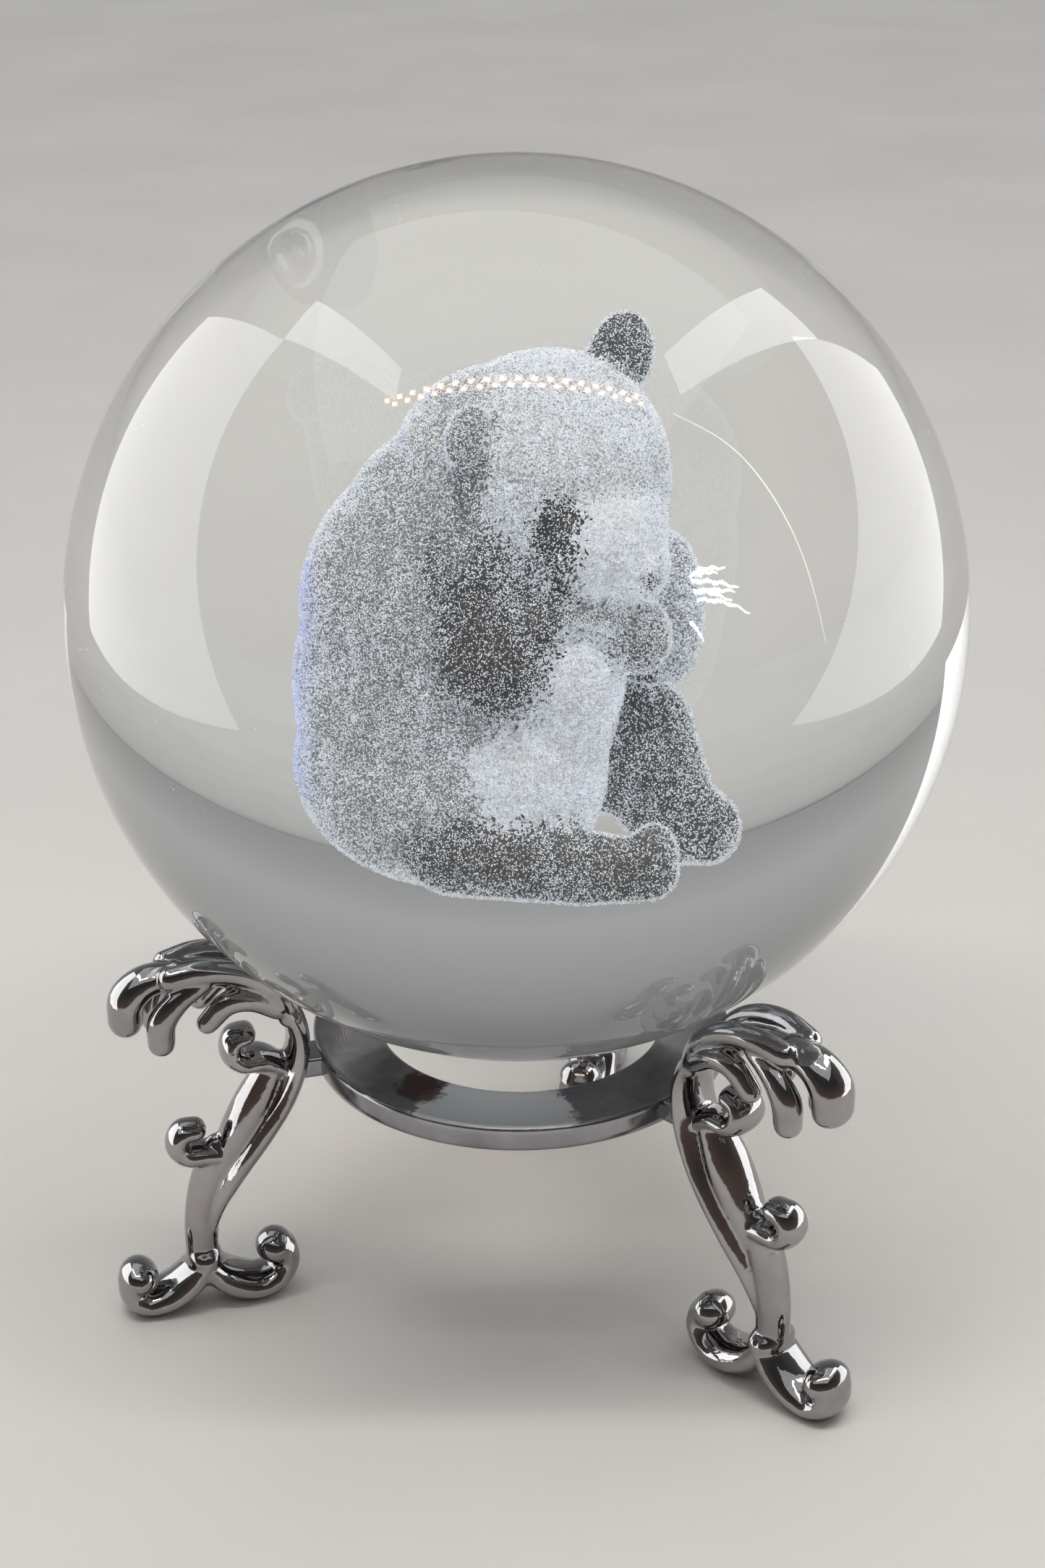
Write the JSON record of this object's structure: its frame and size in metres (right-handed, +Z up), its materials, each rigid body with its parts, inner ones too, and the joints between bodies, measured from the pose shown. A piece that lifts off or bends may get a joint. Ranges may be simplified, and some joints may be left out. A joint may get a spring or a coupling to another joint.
{
  "type": "crystal ball",
  "caption": "Solid glass crystal ball resting loose on the leaf tops of a chromed scroll-legged ring stand, with a figure engraved inside the glass.",
  "frame": {"origin": "on the surface the feet stand on, straight under the middle of the ball", "axes": "+Z up along the axis of the ball and the ring; +Y to the rear leg, so the two other legs point to the front left and the front right"},
  "size_m": [0.08, 0.0805, 0.108],
  "materials": {
    "glass": "clear polished optical glass",
    "ring_chrome": "plated, lightly scuffed and satin on its flat top",
    "leg_chrome": "dark mirror plating on a smooth casting"
  },
  "bodies": {
    "stand": {"seat_ring": "ring_chrome", "leg_rear": "leg_chrome", "leg_left": "leg_chrome", "leg_right": "leg_chrome"},
    "ball": {"glass_ball": "glass"}
  },
  "joints": [
    {"name": "ball_lift", "type": "slide", "parent": "stand", "child": "ball", "axis": [0, 0, 1], "range_m": [0, 0.04]}
  ]
}
